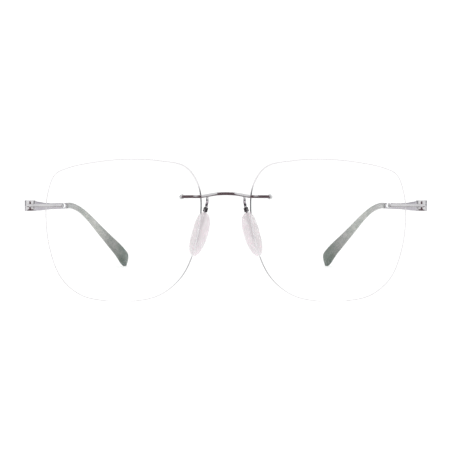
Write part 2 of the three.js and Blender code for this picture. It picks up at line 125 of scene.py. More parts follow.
# Hinges and temples
HINGE_RADIUS = 1.9
HINGE_HEIGHT = 3.76
SCREW_RADIUS = 0.7
SCREW_HEAD_RADIUS = 1.1
SCREW_HEAD_THICKNESS = 0.45
TEMPLE_THICKNESS = 1.0
TEMPLE_HEIGHT = 2.2
SLEEVE_START = 74.0
TEMPLE_LINE = [
    (0, 0, 0), (-2.4, 24.3, -1.75), (-4.8, 50.3, -3.35), (-6.8, 72.3, -4.6), (-8.4, 88.3, -5.7),
    (-10.9, 96.9, -7.85), (-13.9, 104.3, -11.55), (-17.3, 112.3, -16.6), (-21, 120.5, -21.9),
    (-24.6, 128.3, -27.05), (-27.3, 134, -31.85),
]
TEMPLE_HEIGHTS = [(2, HINGE_HEIGHT), (6, 3.7), (14, 3.2), (30, 2.5), (42, TEMPLE_HEIGHT)]
TEMPLE_ROOT = [(0, 3), (3, 1.7), (9, TEMPLE_THICKNESS)]
TIP_HEIGHT = 5.8
TIP_THICKNESS = 2.8
TIP_START_THICKNESS = 1.7
TIP_SWELL_START = 98.0
TIP_ROUND = 3.2
TIP_DROOP = 0.8
TIP_LIP = 0.25
TIP_CORNER = 1.35

# Nose pads
PAD_TURN = Matrix.Rotation(math.radians(-38), 4, "Z") @ Matrix.Rotation(math.radians(-13), 4, "Y")
PAD_PLACE = Matrix.Translation(PAD_PIN) @ PAD_TURN @ Matrix.Rotation(math.radians(9), 4, "X")
PAD_LENGTH = 15.8
PAD_WIDTH = 8.0
PAD_THICKNESS = 2.7
PAD_TOP = 0.95
PAD_INNER = (0.47, 2.4, 1.9)
PAD_OUTER = (0.5, 2.9, 2.7)
PAD_INNER_REACH = 1.14
PAD_FORWARD = 0.45
PAD_BOX_WIDTH = 0.9
PAD_BOX_DEPTH = 1.6
PAD_BOX_TOP = 0.9
PAD_BOX_BOTTOM = 0.7
PAD_PIN_RADIUS = 0.3
PAD_PIN_REACH = 0.95
PAD_EYE_RADIUS = 0.55
PAD_EYE_LENGTH = 0.9
TONGUE_THICKNESS = 0.5
TONGUE_WIDTH = 1.6
TONGUE_LENGTH = 11.0
ARM_THICKNESS = 0.5
ARM_WIDTH = 1.0
ARM_TWIST = (1.2, -0.3)
ARM_LINE = [(6.4, -0.4, 36.95), (6.42, 0.2, 36.1), (6.55, 2.7, 34.8), (6.8, 5.3, 33.9)]


# ------------------------------------------------------------------------------ lines


class Line:
    """A smooth line through points, measured by the distance along it."""

    def __init__(self, points, closed=False, fine=40):
        nodes = np.array([tuple(p) for p in points], float)
        if closed:
            ring = np.vstack([nodes[-1], nodes, nodes[0], nodes[1]])
        else:
            ring = np.vstack([2 * nodes[0] - nodes[1], nodes, 2 * nodes[-1] - nodes[-2]])
        spans = [self.span(*four, fine) for four in zip(ring, ring[1:], ring[2:], ring[3:])]
        self.points = np.vstack([*spans, nodes[0] if closed else nodes[-1]])
        steps = np.linalg.norm(np.diff(self.points, axis=0), axis=1)
        self.along = np.concatenate([[0], np.cumsum(steps)])
        self.length = self.along[-1]

    @staticmethod
    def span(before, start, end, after, fine):
        """The centripetal Catmull-Rom stretch from start to end."""
        d0, d1, d2 = (
            math.sqrt(np.linalg.norm(b - a))
            for a, b in ((before, start), (start, end), (end, after))
        )
        leave = d1 * ((start - before) / d0 - (end - before) / (d0 + d1) + (end - start) / d1)
        arrive = d1 * ((end - start) / d1 - (after - start) / (d1 + d2) + (after - end) / d2)
        t = (np.arange(fine) / fine)[:, None]
        return (
            (2 * t**3 - 3 * t**2 + 1) * start
            + (t**3 - 2 * t**2 + t) * leave
            + (3 * t**2 - 2 * t**3) * end
            + (t**3 - t**2) * arrive
        )

    def at(self, distances):
        """The points at these distances; the ends run on straight."""
        columns = [np.interp(distances, self.along, column) for column in self.points.T]
        return np.stack(columns, axis=-1)

    def heading(self, distances, reach=0.15):
        """The unit tangents at these distances."""
        ahead = self.at(np.minimum(distances + reach, self.length))
        behind = self.at(np.maximum(distances - reach, 0))
        return unit(ahead - behind)


def unit(vectors):
    return vectors / np.linalg.norm(vectors, axis=-1, keepdims=True)


def smoothly(pairs, distances):
    """A value that eases through (distance, value) pairs."""
    at, value = np.array(pairs, float).T
    place = np.clip(distances, at[0], at[-1])
    span = np.clip(np.searchsorted(at, place, side="right") - 1, 0, len(at) - 2)
    t = (place - at[span]) / (at[span + 1] - at[span])
    return value[span] + (value[span + 1] - value[span]) * t * t * (3 - 2 * t)


# ----------------------------------------------------------------------------- meshes


def mesh_of(vertices, faces):
    mesh = bpy.data.meshes.new("shape")
    mesh.from_pydata([tuple(v) for v in vertices], [], [tuple(f) for f in faces])
    mesh.update()
    return outward(mesh)


def outward(mesh):
    bm = bmesh.new()
    bm.from_mesh(mesh)
    bmesh.ops.recalc_face_normals(bm, faces=bm.faces)
    bm.to_mesh(mesh)
    bm.free()
    return mesh


def tube_faces(rings, around, closed=False):
    """Quads between rings of vertices that follow each other in the vertex list."""
    faces = []
    for i in range(rings if closed else rings - 1):
        here, there = i * around, (i + 1) % rings * around
        for j in range(around):
            k = (j + 1) % around
            faces.append((here + j, here + k, there + k, there + j))
    return faces


def section_points(widths, heights, corner, crown=0.0, per_corner=7):
    """Rounded rectangles, one for each width and height, as (station, point, 2)."""
    turn = np.linspace(0, math.pi / 2, per_corner)
    angles = np.concatenate([turn + quarter * math.pi / 2 for quarter in range(4)])
    x_side = np.repeat([1, -1, -1, 1], per_corner)
    y_side = np.repeat([1, 1, -1, -1], per_corner)
    w, h = np.asarray(widths)[:, None] / 2, np.asarray(heights)[:, None] / 2
    r = np.minimum(corner, np.minimum(w, h) * 0.98)
    x = x_side * (w - r) + r * np.cos(angles)
    y = y_side * (h - r) + r * np.sin(angles)
    x = x - np.sign(x) * crown * (y / h) ** 2
    return np.stack([x, y], axis=-1)


def loft(centres, headings, ups, sections):
    """A closed mesh that carries a row of sections along its centres."""
    sides = unit(np.cross(ups, headings))
    risers = np.cross(headings, sides)
    x, y = sections[..., 0:1], sections[..., 1:2]
    vertices = centres[:, None] + x * sides[:, None] + y * risers[:, None]
    rings, around = sections.shape[:2]
    faces = tube_faces(rings, around)
    faces.append(range(around))
    faces.append(range((rings - 1) * around, rings * around))
    return mesh_of(vertices.reshape(-1, 3), faces)


def strip(line, up, width, height, corner, end_round=0.2, step=0.4, crown=0.0, first=0.0, last=None):
    """A bar along a line with rounded edges and ends; width and height depend on the distance."""
    last = line.length if last is None else last
    middle = np.linspace(first + end_round, last - end_round, max(2, round((last - first) / step)))
    curl = np.radians([90, 60, 30])
    near = first + end_round * (1 - np.sin(curl))
    distances = np.concatenate([near, middle, (first + last - near)[::-1]])
    inset = np.zeros(len(distances))
    inset[:3] = end_round * (1 - np.cos(curl))
    inset[-3:] = inset[:3][::-1]
    widths = width(distances) - 2 * inset
    heights = height(distances) - 2 * inset
    sections = section_points(widths, heights, corner, crown)
    return loft(line.at(distances), line.heading(distances), up(distances), sections)


def always(value):
    """A size that is the same at every distance."""
    return lambda distances: np.full(len(distances), float(value))


def facing(direction):
    return lambda distances: np.tile(np.array(direction, float), (len(distances), 1))


def turned(profile, around=48):
    """A turned piece about the Z axis from a closed (radius, level) outline, all off the axis."""
    rings = len(profile)
    angles = np.arange(around) * 2 * math.pi / around
    vertices = [(r * math.cos(a), r * math.sin(a), z) for r, z in profile for a in angles]
    return mesh_of(vertices, tube_faces(rings, around, closed=True))


def rod(radius, low, high, around=48):
    """A solid round bar about the Z axis, with flat ends."""
    bm = bmesh.new()
    bmesh.ops.create_cone(
        bm, cap_ends=True, segments=around, radius1=radius, radius2=radius, depth=high - low
    )
    mesh = bpy.data.meshes.new("shape")
    bm.to_mesh(mesh)
    bm.free()
    mesh.transform(Matrix.Translation((0, 0, (low + high) / 2)))
    return mesh


def block(low, high):
    """A box between two corners."""
    bm = bmesh.new()
    bmesh.ops.create_cube(bm, size=1)
    mesh = bpy.data.meshes.new("shape")
    bm.to_mesh(mesh)
    bm.free()
    low, high = Vector(low), Vector(high)
    mesh.transform(Matrix.Translation((low + high) / 2) @ Matrix.Diagonal((*(high - low), 1)))
    return mesh


def modified(mesh, kind, **settings):
    """The mesh with one modifier applied."""
    carrier = bpy.data.objects.new("carrier", mesh)
    bpy.context.scene.collection.objects.link(carrier)
    modifier = carrier.modifiers.new(kind, kind)
    for name, value in settings.items():
        setattr(modifier, name, value)
    graph = bpy.context.evaluated_depsgraph_get()
    result = bpy.data.meshes.new_from_object(carrier.evaluated_get(graph))
    bpy.data.objects.remove(carrier)
    return result


def combined(mesh, tool, operation):
    other = bpy.data.objects.new("tool", tool)
    bpy.context.scene.collection.objects.link(other)
    result = modified(mesh, "BOOLEAN", object=other, operation=operation, solver="EXACT")
    bpy.data.objects.remove(other)
    return cleaned(result)


def cleaned(mesh, reach=0.0005):
    """The mesh without the slivers that a cut can leave."""
    bm = bmesh.new()
    bm.from_mesh(mesh)
    bmesh.ops.remove_doubles(bm, verts=bm.verts, dist=reach)
    bmesh.ops.dissolve_degenerate(bm, edges=bm.edges, dist=reach)
    bm.to_mesh(mesh)
    bm.free()
    return mesh


def joined(mesh, *others):
    for other in others:
        mesh = combined(mesh, other, "UNION")
    return mesh


def without(mesh, *tools):
    for tool in tools:
        mesh = combined(mesh, tool, "DIFFERENCE")
    return mesh


def eased(mesh, width=0.07, segments=2, angle=35):
    """The mesh with its sharp edges rounded off a little."""
    return modified(
        mesh,
        "BEVEL",
        width=width,
        segments=segments,
        limit_method="ANGLE",
        angle_limit=math.radians(angle),
        use_clamp_overlap=True,
    )


def moved(mesh, place):
    mesh.transform(place)
    return mesh


def along_axis(point, axis):
    """The placement that turns +Z to an axis and moves the origin to a point."""
    turn = UP.rotation_difference(Vector(axis)).to_matrix().to_4x4()
    return Matrix.Translation(point) @ turn


# -------------------------------------------------------------------------- materials


class Look:
    """A node material on one Principled shader, with shorthands for its procedural detail."""

    def __init__(self, name, **constants):
        self.material = bpy.data.materials.new(name)
        self.material.use_nodes = True
        self.tree = self.material.node_tree
        self.shader = self.tree.nodes["Principled BSDF"]
        for socket, value in constants.items():
            self.shader.inputs[socket.replace("_", " ")].default_value = value
        self.coordinates = self.tree.nodes.new("ShaderNodeTexCoord").outputs["Object"]

    def node(self, kind, **settings):
        node = self.tree.nodes.new(kind)
        for name, value in settings.items():
            setattr(node, name, value)
        return node

    def link(self, source, target):
        self.tree.links.new(source, target)

    def noise(self, size_mm, detail=4.0, stretch=(1, 1, 1)):
        """A noise whose grain is about size_mm, drawn out along the axes by stretch."""
        mapping = self.node("ShaderNodeMapping")
        mapping.inputs["Scale"].default_value = [1 / (size_mm * MM * s) for s in stretch]
        noise = self.node("ShaderNodeTexNoise")
        noise.inputs["Scale"].default_value = 1.0
        noise.inputs["Detail"].default_value = detail
        self.link(self.coordinates, mapping.inputs["Vector"])
        self.link(mapping.outputs["Vector"], noise.inputs["Vector"])
        return noise.outputs["Fac"]

    def ramp(self, source, stops):
        ramp = self.node("ShaderNodeValToRGB").color_ramp
        while len(ramp.elements) < len(stops):
            ramp.elements.new(0.5)
        for element, (place, colour) in zip(ramp.elements, stops):
            element.position = place
            element.color = (*colour, 1)
        node = self.tree.nodes[-1]
        self.link(source, node.inputs["Fac"])
        return node.outputs["Color"]

    def between(self, source, low, high, from_low=0.3, from_high=0.7):
        """The source drawn from one range to another."""
        node = self.node("ShaderNodeMapRange")
        for socket, value in zip(node.inputs[1:5], (from_low, from_high, low, high)):
            socket.default_value = value
        self.link(source, node.inputs["Value"])
        return node.outputs["Result"]

    def blend(self, factor, first, second, mode="MIX"):
        node = self.node("ShaderNodeMix", data_type="RGBA", blend_type=mode)
        factor_in, first_in, second_in = node.inputs[0], node.inputs[6], node.inputs[7]
        if isinstance(factor, (int, float)):
            factor_in.default_value = factor
        else:
            self.link(factor, factor_in)
        for value, socket in ((first, first_in), (second, second_in)):
            if isinstance(value, tuple):
                socket.default_value = (*value, 1)
            else:
                self.link(value, socket)
        return node.outputs[2]

    def maths(self, operation, value, other=0.0):
        """One step of arithmetic on a value, with a number or a second value where it takes two."""
        node = self.node("ShaderNodeMath", operation=operation)
        self.link(value, node.inputs[0])
        if isinstance(other, float):
            node.inputs[1].default_value = other
        else:
            self.link(other, node.inputs[1])
        return node.outputs[0]

    def axis(self, name):
        """A point's place along one axis, in metres."""
        split = self.node("ShaderNodeSeparateXYZ")
        self.link(self.coordinates, split.inputs[0])
        return split.outputs[name]

    def colour(self, source):
        self.link(source, self.shader.inputs["Base Color"])

    def roughness(self, source):
        self.link(source, self.shader.inputs["Roughness"])

    def bump(self, source, depth_mm, strength=0.5):
        node = self.node("ShaderNodeBump")
        node.inputs["Strength"].default_value = strength
        node.inputs["Distance"].default_value = depth_mm * MM
        self.link(source, node.inputs["Height"])
        self.link(node.outputs["Normal"], self.shader.inputs["Normal"])


def silver_look():
    """Polished silver plating: faint clouding, fine polishing lines, brighter on worn edges."""
    look = Look("silver_metal", Metallic=1.0, Specular_Tint=(0.8, 0.78, 0.82, 1))
    clouds = look.ramp(look.noise(2.5), [(0.3, (0.5, 0.495, 0.51)), (0.7, (0.6, 0.595, 0.605))])
    edge = look.node("ShaderNodeNewGeometry").outputs["Pointiness"]
    worn = look.between(edge, 0, 0.6, 0.52, 0.6)
    look.colour(look.blend(worn, clouds, (0.74, 0.73, 0.735)))
    lines = look.noise(0.06, 6, stretch=(12, 12, 1))
    look.roughness(look.between(lines, 0.07, 0.2))
    look.bump(lines, 0.002, 0.25)
    return look.material


def dark_look():
    """Darker satin metal with a fine tumbled grain."""
    look = Look("dark_metal", Metallic=1.0)
    look.colour(look.ramp(look.noise(0.8), [(0.3, (0.05, 0.046, 0.05)), (0.7, (0.11, 0.1, 0.108))]))
    grain = look.noise(0.05, 5)
    look.roughness(look.between(grain, 0.25, 0.42))
    look.bump(grain, 0.004, 0.4)
    return look.material


def lens_look():
    """Clear lens with an anti-reflective film and the faintest wipe marks."""
    look = Look(
        "lens_clear",
        Base_Color=(0.985, 0.992, 0.99, 1),
        IOR=1.5,
        Transmission_Weight=1.0,
        Thin_Film_Thickness=105.0,
        Thin_Film_IOR=1.3,
    )
    look.roughness(look.between(look.noise(9, 3, stretch=(3, 1, 1)), 0.0, 0.012))
    return look.material


def lens_edge_look():
    """The ground and polished edge of a lens: fine wheel marks, with a painted shade beside the nose
    above and below the pad.
    """
    look = Look("lens_edge", IOR=1.5, Transmission_Weight=0.1)
    marks = look.noise(0.12, 5, stretch=(8, 1, 8))
    pale = look.ramp(marks, [(0.3, (0.66, 0.64, 0.655)), (0.7, (0.77, 0.75, 0.765))])
    # Painted shade: the edge is darkened beside the nose, above the pad, and more faintly below it.
    beside_nose = look.between(look.maths("ABSOLUTE", look.axis("X")), 1, 0, 0.014, 0.022)
    level = look.axis("Z")
    over_pad = look.between(level, 0, 1, 0.0305, 0.0315)
    under_corner = look.between(level, 1, 0, 0.038, 0.041)
    above_pad = look.maths("MULTIPLY", over_pad, under_corner)
    below_pad = look.between(level, 0.55, 0, 0.0155, 0.0165)
    clear_of_pad = look.maths("MAXIMUM", above_pad, below_pad)
    shade = look.maths("MULTIPLY", beside_nose, clear_of_pad)
    look.colour(look.blend(shade, pale, (0.09, 0.09, 0.095)))
    look.roughness(look.between(marks, 0.14, 0.3))
    look.bump(marks, 0.004, 0.3)
    return look.material


def plastic_look(name, dark, light):
    """Clear moulded plastic with faint flow marks."""
    look = Look(name, IOR=1.49, Transmission_Weight=0.6)
    look.colour(look.ramp(look.noise(0.7, 3), [(0.3, dark), (0.7, light)]))
    look.roughness(look.between(look.noise(0.15, 4), 0.15, 0.3))
    return look.material


def tip_look():
    """Satin acetate: pale grey at the front, with a painted highlight as a lighter band in the middle,
    deepening to grey-green at the end.
    """
    look = Look("temple_tip_acetate", IOR=1.49, Coat_Weight=0.2, Coat_Roughness=0.12)
    start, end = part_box("temple_tip_left")[0].y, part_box("temple_tip_left")[1].y
    # The ramp along the sleeve mixes the acetate's own grey-green, deepening towards the end, with a
    # painted highlight: the lighter band from about 0.44 to 0.58.
    body = look.ramp(
        look.between(look.axis("Y"), 0, 1, start, end),
        [
            (0.0, (0.35, 0.35, 0.353)),
            (0.3, (0.385, 0.383, 0.378)),
            (0.44, (0.47, 0.472, 0.452)),
            (0.58, (0.455, 0.457, 0.44)),
            (0.7, (0.325, 0.325, 0.322)),
            (0.8, (0.23, 0.235, 0.231)),
            (0.9, (0.125, 0.158, 0.145)),
            (1.0, (0.16, 0.198, 0.186)),
        ],
    )
    drift = look.noise(3.2, 6, stretch=(1, 4, 1))
    veins = look.ramp(drift, [(0.4, (0.74, 0.79, 0.77)), (0.62, (1.06, 1.05, 1.05))])
    specks = look.ramp(look.noise(0.4, 4), [(0.4, (0.86, 0.89, 0.88)), (0.6, (1.03, 1.03, 1.03))])
    look.colour(look.blend(1.0, look.blend(1.0, body, veins, "MULTIPLY"), specks, "MULTIPLY"))
    grain = look.noise(0.18, 5)
    look.roughness(look.between(grain, 0.24, 0.4))
    look.bump(grain, 0.006, 0.3)
    return look.material


def off_core(look):
    """How far a point on either side of the glasses is from its pad's core, seen from the front."""
    across = (PAD_PLACE.to_3x3() @ UP).cross(BACK).normalized()
    place = look.node("ShaderNodeCombineXYZ")
    look.link(look.maths("ABSOLUTE", look.axis("X")), place.inputs["X"])
    look.link(look.axis("Y"), place.inputs["Y"])
    look.link(look.axis("Z"), place.inputs["Z"])
    along = look.node("ShaderNodeVectorMath", operation="DOT_PRODUCT")
    look.link(place.outputs["Vector"], along.inputs[0])
    along.inputs[1].default_value = across
    offset = look.maths("SUBTRACT", along.outputs["Value"], (TO_ROW @ PAD_PIN).dot(across))
    return look.maths("ABSOLUTE", offset)


def pad_look():
    """Milky translucent silicone, slightly clouded, a little darker where its core shows through."""
    look = Look(
        "nose_pad_silicone",
        IOR=1.41,
        Transmission_Weight=0.12,
        Subsurface_Weight=0.9,
        Subsurface_Scale=0.0012,
        Subsurface_Radius=(1.0, 0.92, 0.96),
    )
    clouds = look.noise(2.2, 4)
    milk = look.ramp(clouds, [(0.3, (0.762, 0.717, 0.738)), (0.7, (0.822, 0.776, 0.796))])
    over_core = look.between(off_core(look), 0.4, 0, 0.0003, 0.001)
    above_core_end = look.between(look.axis("Z"), 0, 1, 0.018, 0.022)
    look.colour(look.blend(look.maths("MULTIPLY", over_core, above_core_end), milk, (0.47, 0.44, 0.455)))
    skin = look.noise(0.22, 4)
    look.roughness(look.between(skin, 0.34, 0.5))
    look.bump(skin, 0.01, 0.15)
    return look.material


LOOKS = {
    "silver": (silver_look(), "silver_metal"),
    "dark": (dark_look(), "dark_metal"),
    "lens": (lens_look(), "lens"),
    "plastic": (plastic_look("clear_plastic", (0.86, 0.87, 0.88), (0.96, 0.96, 0.97)), "clear_plastic"),
    "core": (plastic_look("pad_core_plastic", (0.3, 0.28, 0.3), (0.42, 0.4, 0.42)), "clear_plastic"),
    "tip": (tip_look(), "temple_tip"),
    "pad": (pad_look(), "nose_pad"),
}
LENS_EDGE = lens_edge_look()


def place_piece(mesh, node, body, look, sharp=40):
    """Puts a finished mesh into the row frame on its body, in place of its CAD node."""
    material, slot = LOOKS[look]
    mesh.transform(TO_ROW)
    if not mesh.materials:
        mesh.materials.append(material)
    mesh.shade_smooth()
    mesh.set_sharp_from_angle(angle=math.radians(sharp))
    mesh.name = f"{node}_piece"
    piece = bpy.data.objects.new(f"{node}_piece", mesh)
    bpy.context.scene.collection.objects.link(piece)
    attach(piece, body)
    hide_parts(node)
    return piece


MIRROR = Matrix.Scale(-1, 4, (1, 0, 0))


def place_pair(mesh, node, body, look, **options):
    """Places a left piece and its mirror image. A body name with no side serves both."""
    other = mesh.copy()
    other.transform(MIRROR)
    other.flip_normals()
    pieces = []
    for side, shape in (("left", mesh), ("right", other)):
        rides = body if body == "front" else f"{body}_{side}"
        pieces.append(place_piece(shape, f"{node}_{side}", rides, look, **options))
    return pieces


# ----------------------------------------------------------------------------- lenses


def sag(u, v):
    """How far the front surface falls back, u across and v above the middle of the lens."""
    return LENS_RADIUS - np.sqrt(LENS_RADIUS**2 - u**2 - v**2)


def on_lens(u, v):
    """The placement with +Z through the lens, from front to back, at u, v."""
    normal = Vector((-u, LENS_RADIUS - sag(u, v), -v)).normalized()
    return LENS_PLACE @ along_axis(Vector((u, sag(u, v), v)), normal)


def lens_mesh(around=LENS_AROUND):
    """A meniscus with polished faces, a bevelled rim and its two drilled holes."""
    outline = Line([(u, v, 0) for u, v in LENS_OUTLINE], closed=True)
    rim = outline.at(np.arange(around) * outline.length / around)[:, :2]
    bevel = LENS_EDGE_BEVEL / (LENS_HEIGHT / 2)
    rounding = 1 - bevel * (1 - np.sin(np.radians([45, 90])))
    rings = [*np.linspace(0.04, 1 - bevel, LENS_RINGS), *rounding]
    front = list(zip(rings, [0] * LENS_RINGS + [LENS_EDGE_BEVEL * 0.3, LENS_EDGE_BEVEL]))
    profile = [*front, *((ring, LENS_THICKNESS - depth) for ring, depth in front[::-1])]
    vertices = []
    for ring, depth in profile:
        u = ring * rim[:, 0]
        v = np.maximum(ring * rim[:, 1], -LENS_HEIGHT / 2)
        vertices.append(np.stack([u, sag(u, v) + depth, v], axis=-1))
    faces = tube_faces(len(profile), around)
    faces.append(range(around))
    faces.append(range((len(profile) - 1) * around, len(profile) * around))
    mesh = moved(mesh_of(np.concatenate(vertices), faces), LENS_PLACE)
    mesh.materials.append(LOOKS["lens"][0])
    mesh.materials.append(LENS_EDGE)
    for face in mesh.polygons[(LENS_RINGS - 1) * around : (len(profile) - LENS_RINGS) * around]:
        face.material_index = 1
    drills = [
        moved(rod(HOLE_RADIUS, -1, LENS_THICKNESS + 1), on_lens(u, v))
        for u, v in ((BRIDGE_HOLE, BRIDGE_LEVEL), (ENDPIECE_HOLE, ENDPIECE_LEVEL))
    ]
    return without(mesh, *drills)


for lens in place_pair(lens_mesh(), "lens", "front", "lens", sharp=14):
    lens.visible_shadow = False
    lens.visible_diffuse = False


# ----------------------------------------------------------------- fixings on the lenses


def ring_profile(inner, outer, low, high, ease=0.06):
    """The outline of a flat ring with eased edges."""
    return [
        (inner, low + ease), (inner + ease, low), (outer - ease, low), (outer, low + ease),
        (outer, high - ease), (outer - ease, high), (inner + ease, high), (inner, high - ease),
    ]


def bushing_mesh():
    flange = -GAP - FLANGE_THICKNESS
    return turned([
        (BORE_RADIUS, flange), (FLANGE_RADIUS - 0.1, flange), (FLANGE_RADIUS - 0.03, flange + 0.03),
        (FLANGE_RADIUS, flange + 0.1), (FLANGE_RADIUS, -GAP - 0.03), (FLANGE_RADIUS - 0.03, -GAP),
        (SLEEVE_RADIUS, -GAP), (SLEEVE_RADIUS, SLEEVE_END - 0.1), (SLEEVE_RADIUS - 0.1, SLEEVE_END),
        (BORE_RADIUS, SLEEVE_END),
    ])


def washer_mesh():
    top = WASHER_LEVEL + WASHER_THICKNESS
    return turned(ring_profile(BORE_RADIUS, WASHER_RADIUS, WASHER_LEVEL, top))


def nut_mesh():
    """A hexagon nut with chamfered corners and a round bore."""
    top = NUT_LEVEL + NUT_THICKNESS
    hexagon = rod(NUT_RADIUS, NUT_LEVEL, top, around=6)
    crown = turned([
        (0.001, NUT_LEVEL - 0.2), (NUT_RADIUS + 0.2, NUT_LEVEL - 0.2), (NUT_RADIUS + 0.2, top - 0.4),
        (NUT_RADIUS * 0.8, top + 0.001), (0.001, top + 0.001),
    ])
    chamfered = combined(hexagon, crown, "INTERSECT")
    return eased(without(chamfered, rod(BORE_RADIUS, NUT_LEVEL - 1, top + 1, around=32)), 0.04)


def place_fixing(owner, u, v):
    for part, shape, look in (
        ("bushing", bushing_mesh(), "plastic"),
        ("washer", washer_mesh(), "plastic"),
        ("nut", nut_mesh(), "silver"),
    ):
        place_pair(moved(shape, on_lens(u, v)), f"{owner}_{part}", "front", look)


def stud_mesh(u, v):
    """The stud behind a strip, with its end rounded over."""
    start = -STAND_OFF - STRIP_THICKNESS / 2
    stud = eased(rod(STUD_RADIUS, start, STUD_END, around=36), 0.14, 3)
    return moved(stud, on_lens(u, v))


def lug_mesh(edge, v, outward_side):
    """The lug behind a strip that bears on the edge of the lens."""
    front = sag(edge, v) - STAND_OFF - STRIP_THICKNESS / 2
    near = edge + outward_side * 2 * GAP
    far = near + outward_side * LUG_WIDTH
    half = STRIP_HEIGHT * 0.4
    depth = front + LUG_DEPTH + STRIP_THICKNESS / 2
    low = (min(near, far), front, v - half)
    return moved(eased(block(low, (max(near, far), depth, v + half)), 0.12, 3), LENS_PLACE)


def strip_on_lens(u, v):
    """The middle of a strip that lies on a lens at u, v."""
    return on_lens(u, v) @ Vector((0, 0, -STAND_OFF - STRIP_THICKNESS / 2))


place_fixing("bridge", BRIDGE_HOLE, BRIDGE_LEVEL)
place_fixing("endpiece", ENDPIECE_HOLE, ENDPIECE_LEVEL)


# ----------------------------------------------------------------------------- bridge


def bridge_line():
    tab = [strip_on_lens(u, BRIDGE_LEVEL) for u in (BRIDGE_END, -24, LENS_NASAL_EDGE)]
    foot = tab[2]
    flat_level = foot.z + BRIDGE_RISE - 0.15
    forward = BRIDGE_FORWARD
    bend = Vector((foot.x - 0.9, foot.y + (forward - foot.y) * 0.12, foot.z + 0.12))
    rise = Vector((BRIDGE_FLAT + 0.8, forward + (foot.y - forward) * 0.12, flat_level - 0.1))
    flat = Vector((BRIDGE_FLAT - 0.4, forward, flat_level + 0.05))
    half = [*tab, bend, rise, flat]
    other = [Vector((-p.x, p.y, p.z)) for p in half[::-1]]
    return Line([*half, Vector((0, forward, foot.z + BRIDGE_RISE)), *other])


def bridge_mesh():
    bar = strip(
        bridge_line(), facing(UP), always(STRIP_THICKNESS), always(STRIP_HEIGHT),
        STRIP_CORNER, end_round=0.3, step=0.25, crown=0.012,
    )
    fittings = [stud_mesh(BRIDGE_HOLE, BRIDGE_LEVEL), lug_mesh(LENS_NASAL_EDGE, BRIDGE_LEVEL, -1)]
    for fitting in list(fittings):
        other = moved(fitting.copy(), MIRROR)
        other.flip_normals()
        fittings.append(other)
    return joined(bar, *fittings)


place_piece(bridge_mesh(), "bridge", "front", "silver")


# ------------------------------------------------------------------- endpieces and hinges

HINGE_PLACE = along_axis(HINGE, HINGE_AXIS)


def hinge_level(y):
    """The height of the plane square to the hinge pin over a point y."""
    return HINGE.z - (y - HINGE.y) * HINGE_AXIS.y / HINGE_AXIS.z


def endpiece_line():
    points = [strip_on_lens(u, ENDPIECE_LEVEL) for u in (ENDPIECE_END, 24.2, LENS_TEMPLE_EDGE)]
    for point in points:
        point.z = hinge_level(point.y)
    heading = (points[2] - points[1]).to_2d().normalized()
    offset = HINGE_RADIUS - STRIP_THICKNESS / 2
    end = HINGE + Vector((heading.y, -heading.x, 0)) * offset
    end.z = hinge_level(end.y)
    return Line([*points, end])


def endpiece_mesh():
    bar = strip(
        endpiece_line(), facing(HINGE_AXIS), always(STRIP_THICKNESS), always(STRIP_HEIGHT),
        STRIP_CORNER, end_round=0.3, step=0.3, crown=0.03,
    )
    knuckle = moved(eased(rod(HINGE_RADIUS, -STRIP_HEIGHT / 2, STRIP_HEIGHT / 2, 72), 0.1), HINGE_PLACE)
    bore = moved(rod(SCREW_RADIUS + GAP, -3, 3), HINGE_PLACE)
    fittings = [stud_mesh(ENDPIECE_HOLE, ENDPIECE_LEVEL), lug_mesh(LENS_TEMPLE_EDGE, ENDPIECE_LEVEL, 1)]
    return without(joined(bar, knuckle, *fittings), bore)


def screw_mesh():
    """The hinge screw: a slotted head let into the upper eye, over a plain shank."""
    top = HINGE_HEIGHT / 2 - GAP
    head = top - SCREW_HEAD_THICKNESS
    body = turned([
        (0.001, -top), (SCREW_RADIUS - 0.12, -top), (SCREW_RADIUS, -top + 0.12), (SCREW_RADIUS, head),
        (SCREW_HEAD_RADIUS, head), (SCREW_HEAD_RADIUS, top - 0.12),
        (SCREW_HEAD_RADIUS - 0.04, top - 0.04), (SCREW_HEAD_RADIUS - 0.12, top), (0.001, top),
    ])
    slot = block((-2, -0.17, top - 0.25), (2, 0.17, top + 1))
    return moved(without(body, slot), HINGE_PLACE)


place_pair(endpiece_mesh(), "endpiece", "front", "silver")
place_pair(screw_mesh(), "hinge_screw", "temple", "silver")


# ---------------------------------------------------------------------------- temples

TEMPLE = Line([HINGE + Vector(step) for step in TEMPLE_LINE])


def temple_mesh():
    """The temple's flat bar up to the sleeve, with the two eyes that clasp the knuckle."""
    bar = strip(
        TEMPLE, facing(HINGE_AXIS),
        lambda d: smoothly(TEMPLE_ROOT, d), lambda d: smoothly(TEMPLE_HEIGHTS, d),
        0.3, end_round=0.25, step=0.8, crown=0.03, last=SLEEVE_START + 1.5,
    )
    eye = eased(rod(HINGE_RADIUS, -HINGE_HEIGHT / 2, HINGE_HEIGHT / 2, 72), 0.16, 3)
    slot = rod(HINGE_RADIUS + 2 * GAP, -STRIP_HEIGHT / 2 - GAP, STRIP_HEIGHT / 2 + GAP, 72)
    seat = rod(SCREW_HEAD_RADIUS + GAP, HINGE_HEIGHT / 2 - SCREW_HEAD_THICKNESS - 2 * GAP, 3)
    bore = rod(SCREW_RADIUS + 0.03, -3, 3)
    whole = joined(bar, moved(eye, HINGE_PLACE))
    return without(whole, *(moved(tool, HINGE_PLACE) for tool in (slot, seat, bore)))


